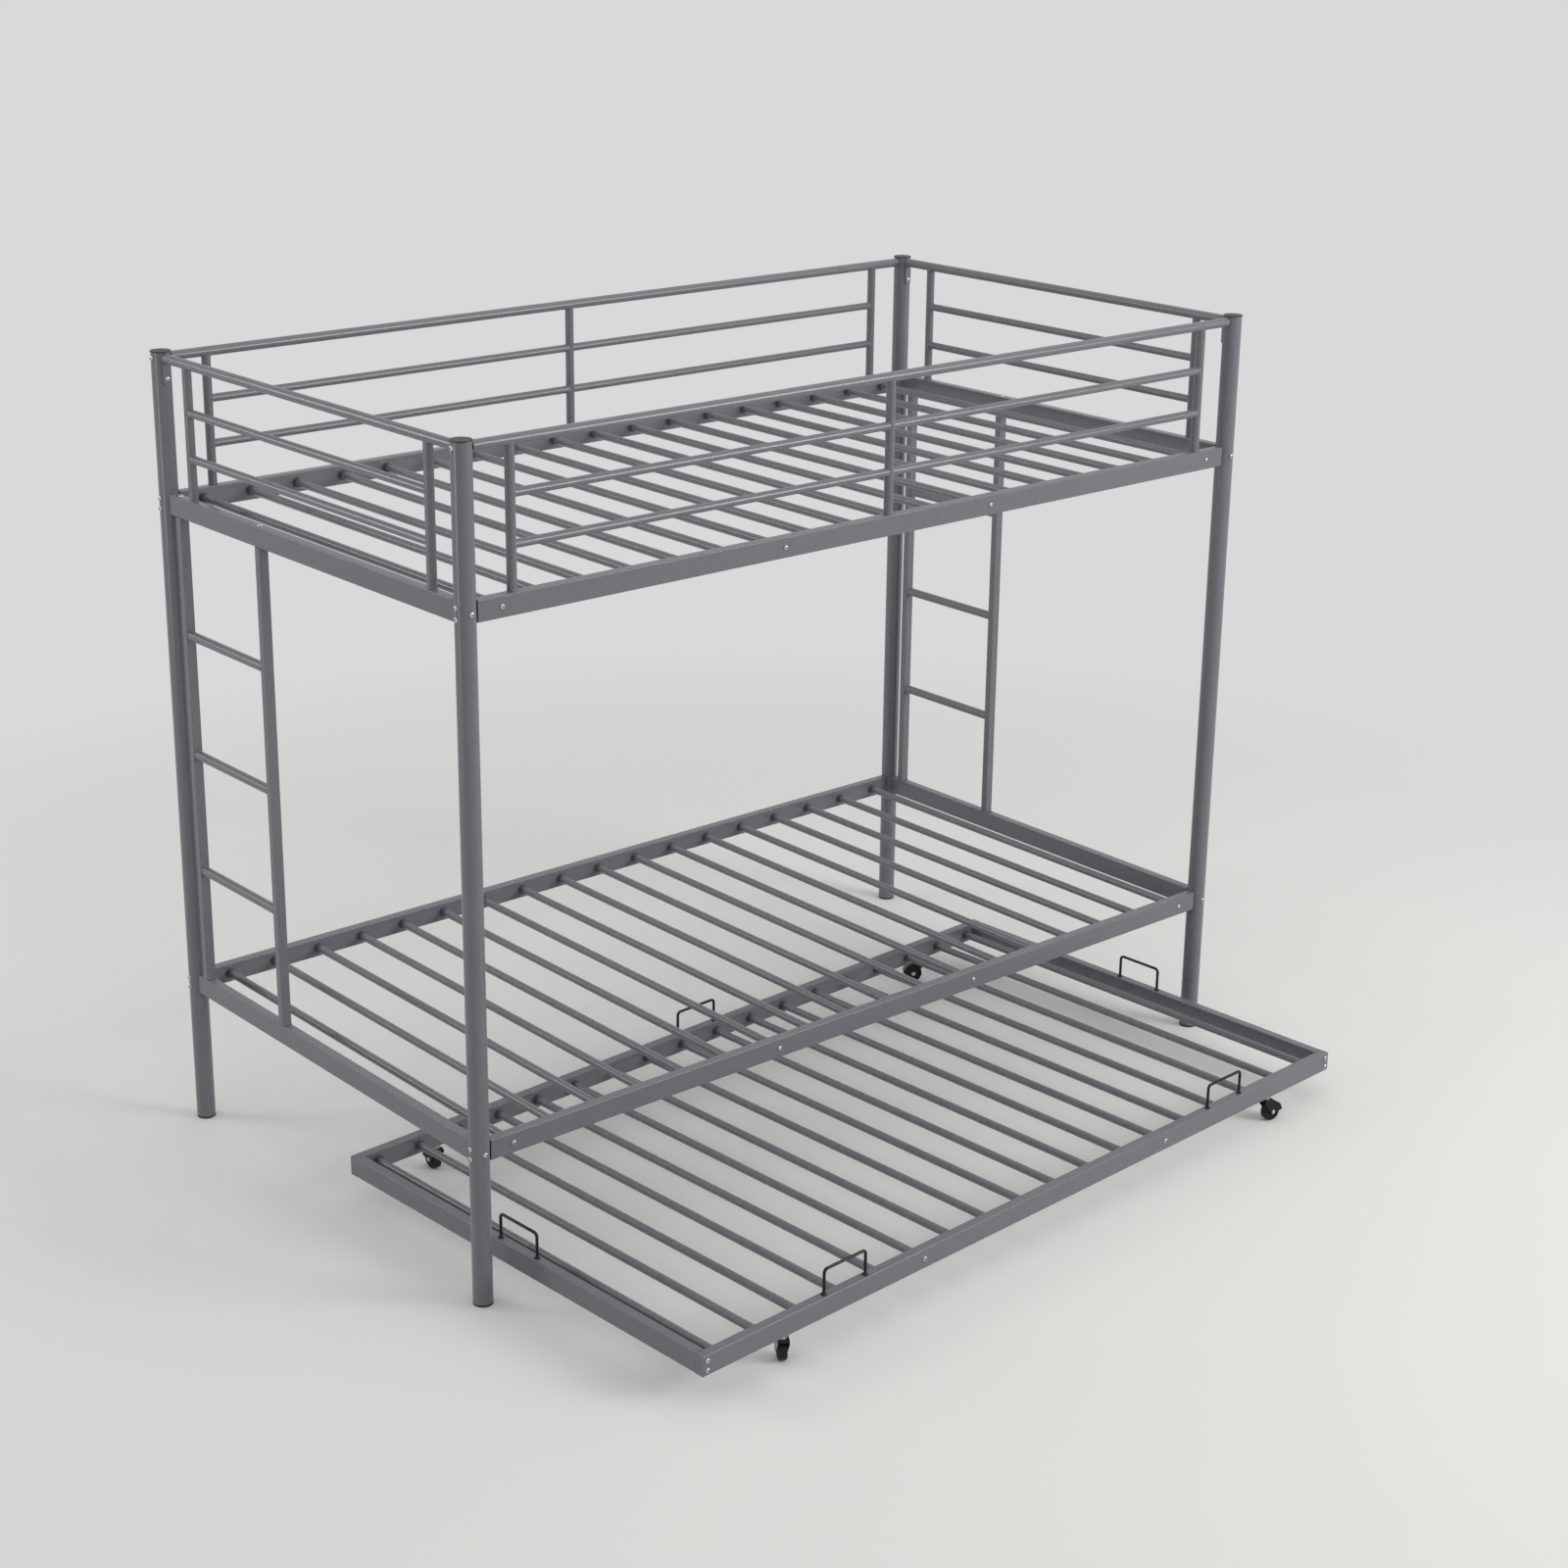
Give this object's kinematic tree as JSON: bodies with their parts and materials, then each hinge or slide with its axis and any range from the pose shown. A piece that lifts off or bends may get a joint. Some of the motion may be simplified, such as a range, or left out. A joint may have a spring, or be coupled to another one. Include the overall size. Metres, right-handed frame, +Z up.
{
  "type": "bunk bed with trundle",
  "caption": "Metal bunk bed with two slatted decks, guard rails, an upright ladder at each end and a low slatted trundle bed that rolls out on swivel casters.",
  "frame": {"origin": "on the floor, under the middle of the whole object's box with the trundle rolled out as pictured", "axes": "+X along the bed's long side, +Y from the trundle's side to the rear, +Z up"},
  "size_m": [1.98, 1.5468, 1.61],
  "materials": {
    "grey_powder_coat": "satin dark grey powder coat on steel tube",
    "dark_plastic": "matte moulded plug",
    "black_wire": "semi-gloss black coated wire",
    "black_caster_shell": "black coated pressing",
    "black_tread": "matte black tread",
    "bright_zinc": "bright zinc plate"
  },
  "bodies": {
    "bed_frame": {"front_left_post": "grey_powder_coat", "front_left_post_cap": "dark_plastic", "front_left_foot_plug": "dark_plastic", "front_right_post": "grey_powder_coat", "front_right_post_cap": "dark_plastic", "front_right_foot_plug": "dark_plastic", "rear_left_post": "grey_powder_coat", "rear_left_post_cap": "dark_plastic", "rear_left_foot_plug": "dark_plastic", "rear_right_post": "grey_powder_coat", "rear_right_post_cap": "dark_plastic", "rear_right_foot_plug": "dark_plastic", "upper_front_rail_and_slats": "grey_powder_coat", "upper_rear_rail": "grey_powder_coat", "upper_left_end_rail": "grey_powder_coat", "upper_right_end_rail": "grey_powder_coat", "lower_front_rail_and_slats": "grey_powder_coat", "lower_rear_rail": "grey_powder_coat", "lower_left_end_rail": "grey_powder_coat", "lower_right_end_rail": "grey_powder_coat", "front_guard": "grey_powder_coat", "rear_guard": "grey_powder_coat", "left_end_guard": "grey_powder_coat", "right_end_guard": "grey_powder_coat", "left_ladder": "grey_powder_coat", "right_ladder": "grey_powder_coat"},
    "trundle": {"trundle_front_rail_and_slats": "grey_powder_coat", "trundle_rear_rail": "grey_powder_coat", "trundle_left_end_rail": "grey_powder_coat", "trundle_right_end_rail": "grey_powder_coat", "trundle_left_bail": "black_wire", "trundle_right_bail": "black_wire", "trundle_front_left_bail": "black_wire", "trundle_front_right_bail": "black_wire", "trundle_rear_bail": "black_wire", "front_left_caster_stem": "bright_zinc", "front_right_caster_stem": "bright_zinc", "rear_left_caster_stem": "bright_zinc", "rear_right_caster_stem": "bright_zinc"},
    "front_left_caster_swivel": {"front_left_caster_fork": "black_caster_shell", "front_left_caster_axle": "bright_zinc"},
    "front_left_caster_roller": {"front_left_caster_wheel": "black_tread"},
    "front_right_caster_swivel": {"front_right_caster_fork": "black_caster_shell", "front_right_caster_axle": "bright_zinc"},
    "front_right_caster_roller": {"front_right_caster_wheel": "black_tread"},
    "rear_left_caster_swivel": {"rear_left_caster_fork": "black_caster_shell", "rear_left_caster_axle": "bright_zinc"},
    "rear_left_caster_roller": {"rear_left_caster_wheel": "black_tread"},
    "rear_right_caster_swivel": {"rear_right_caster_fork": "black_caster_shell", "rear_right_caster_axle": "bright_zinc"},
    "rear_right_caster_roller": {"rear_right_caster_wheel": "black_tread"}
  },
  "joints": [
    {"name": "trundle_slide", "type": "slide", "parent": "bed_frame", "child": "trundle", "axis": [0, 1, 0], "range_m": [-0.6, 0.465]},
    {"name": "front_left_caster_turn", "type": "hinge", "parent": "trundle", "child": "front_left_caster_swivel", "pos_m": [-0.68269, -0.7523, 0.05], "axis": [0, 0, 1], "continuous": true},
    {"name": "front_right_caster_turn", "type": "hinge", "parent": "trundle", "child": "front_right_caster_swivel", "pos_m": [0.72514, -0.67396, 0.05], "axis": [0, 0, 1], "continuous": true},
    {"name": "rear_left_caster_turn", "type": "hinge", "parent": "trundle", "child": "rear_left_caster_swivel", "pos_m": [-0.73814, 0.24416, 0.05], "axis": [0, 0, 1], "continuous": true},
    {"name": "rear_right_caster_turn", "type": "hinge", "parent": "trundle", "child": "rear_right_caster_swivel", "pos_m": [0.66969, 0.3225, 0.05], "axis": [0, 0, 1], "continuous": true},
    {"name": "front_left_wheel_spin", "type": "hinge", "parent": "front_left_caster_swivel", "child": "front_left_caster_roller", "pos_m": [-0.67636, -0.7421, 0.02], "axis": [-0.8498, 0.5272, 0], "continuous": true},
    {"name": "front_right_wheel_spin", "type": "hinge", "parent": "front_right_caster_swivel", "child": "front_right_caster_roller", "pos_m": [0.73699, -0.6758, 0.02], "axis": [0.1532, 0.9882, 0], "continuous": true},
    {"name": "rear_left_wheel_spin", "type": "hinge", "parent": "rear_left_caster_swivel", "child": "rear_left_caster_roller", "pos_m": [-0.73776, 0.25615, 0.02], "axis": [-0.9995, 0.0317, 0], "continuous": true},
    {"name": "rear_right_wheel_spin", "type": "hinge", "parent": "rear_right_caster_swivel", "child": "rear_right_caster_roller", "pos_m": [0.66008, 0.32969, 0.02], "axis": [-0.5992, -0.8006, 0], "continuous": true}
  ]
}
